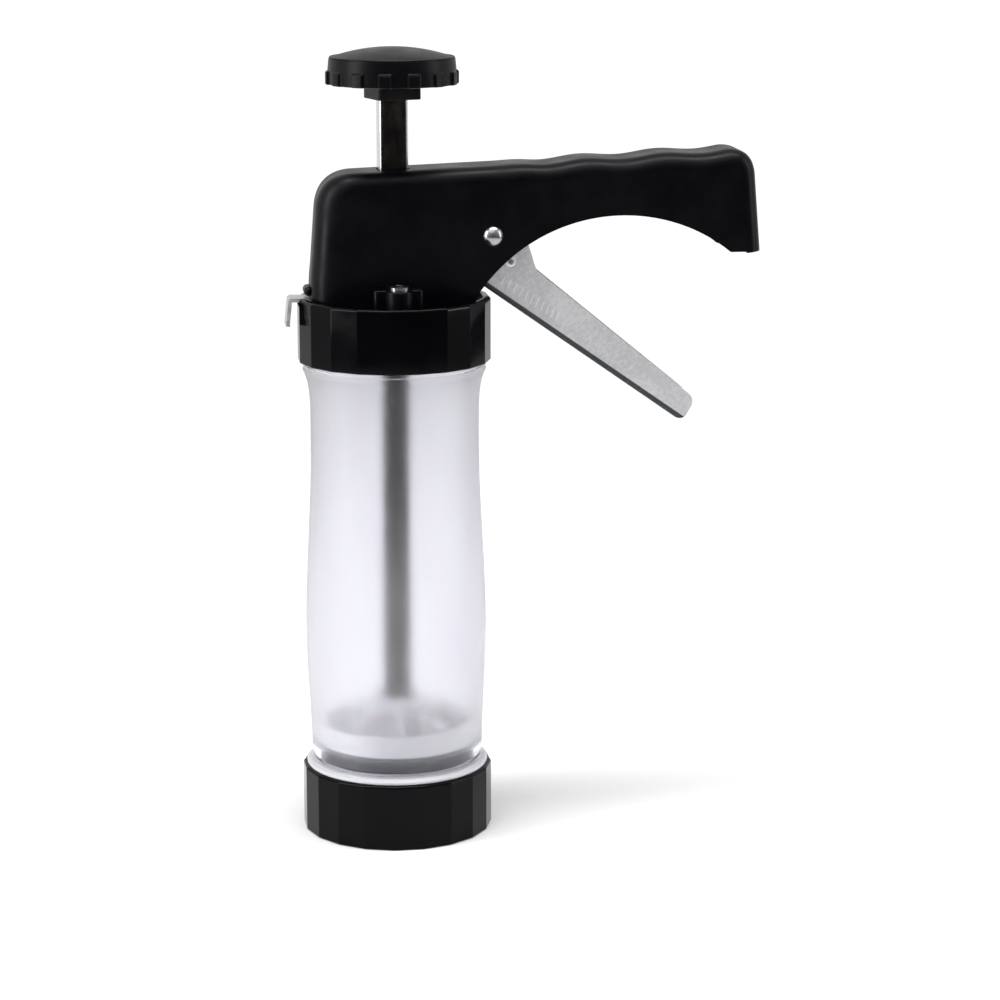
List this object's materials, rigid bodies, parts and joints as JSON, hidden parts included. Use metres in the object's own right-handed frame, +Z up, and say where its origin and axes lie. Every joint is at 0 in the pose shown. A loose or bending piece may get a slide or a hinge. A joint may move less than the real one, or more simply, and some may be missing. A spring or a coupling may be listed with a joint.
{
  "type": "cookie press",
  "caption": "Trigger-operated cookie press: clear waisted barrel between faceted screw collars, push rod with knob, curved handle over a folded steel trigger.",
  "frame": {"origin": "on the barrel axis at the underside of the base ring, the middle of the outlet", "axes": "+Z up along the barrel axis towards the knob, +X from the barrel axis towards the end of the handle, +Y across the thickness of the handle"},
  "size_m": [0.1521, 0.0614, 0.2546],
  "materials": {
    "black_plastic": "satin moulded",
    "clear_plastic": "frosted clear plastic",
    "white_plastic": "matte",
    "ivory_plastic": "matte",
    "grey_rubber": "soft",
    "steel_sheet": "brushed",
    "bright_steel": "polished",
    "spring_steel": "drawn wire"
  },
  "bodies": {
    "head": {"head_housing": "black_plastic", "top_collar": "black_plastic", "collar_screws": "bright_steel", "pivot_pin": "bright_steel", "drive_spring": "spring_steel", "release_spring": "spring_steel"},
    "trigger": {"trigger": "steel_sheet", "trigger_eyelets": "bright_steel"},
    "drive": {"drive_plate": "steel_sheet"},
    "release": {"release_lever": "steel_sheet"},
    "plunger": {"push_rod": "steel_sheet", "piston_base": "white_plastic", "piston_seal": "grey_rubber", "piston_top": "white_plastic", "piston_screw": "bright_steel", "knob_body": "black_plastic", "knob_cap": "black_plastic", "knob_screw": "bright_steel"},
    "gasket": {"top_gasket": "grey_rubber"},
    "barrel": {"barrel": "clear_plastic"},
    "disc": {"shaping_disc": "ivory_plastic"},
    "ring": {"base_ring": "black_plastic"}
  },
  "joints": [
    {"name": "trigger_squeeze", "type": "hinge", "parent": "head", "child": "trigger", "pos_m": [0.03058, 0, 0.1957], "axis": [0, -1, 0], "range_deg": [0, 24], "stiffness_Nm_per_rad": 0.35, "springref_deg": -8.59},
    {"name": "drive_plate_push", "type": "slide", "parent": "head", "child": "drive", "axis": [0, 0, -1], "range_m": [0, 0.0084], "deforming": ["drive_spring"]},
    {"name": "release_press", "type": "hinge", "parent": "head", "child": "release", "pos_m": [0.0118, 0, 0.17405], "axis": [0, -1, 0], "range_deg": [0, 1.7], "stiffness_Nm_per_rad": 0.6, "springref_deg": -2.86, "deforming": ["release_spring"]},
    {"name": "plunger_slide", "type": "slide", "parent": "head", "child": "plunger", "axis": [0, 0, 1], "range_m": [-0.0175, 0.118]},
    {"name": "barrel_drop", "type": "slide", "parent": "head", "child": "gasket", "axis": [0, 0, 1], "range_m": [-0.0101, 0]},
    {"name": "barrel_turn", "type": "hinge", "parent": "gasket", "child": "barrel", "pos_m": [0, 0, 0.16], "axis": [0, 0, 1], "range_deg": [-900, 0]},
    {"name": "ring_drop", "type": "slide", "parent": "barrel", "child": "disc", "axis": [0, 0, 1], "range_m": [-0.0101, 0]},
    {"name": "ring_turn", "type": "hinge", "parent": "disc", "child": "ring", "pos_m": [0, 0, 0.01], "axis": [0, 0, 1], "range_deg": [-900, 0]}
  ],
  "couplings": [
    {"joint": "drive_plate_push", "follows": "trigger_squeeze", "m_per_rad": 0.019854},
    {"joint": "barrel_drop", "follows": "barrel_turn", "m_per_rad": 0.00063662},
    {"joint": "ring_drop", "follows": "ring_turn", "m_per_rad": 0.00063662}
  ]
}
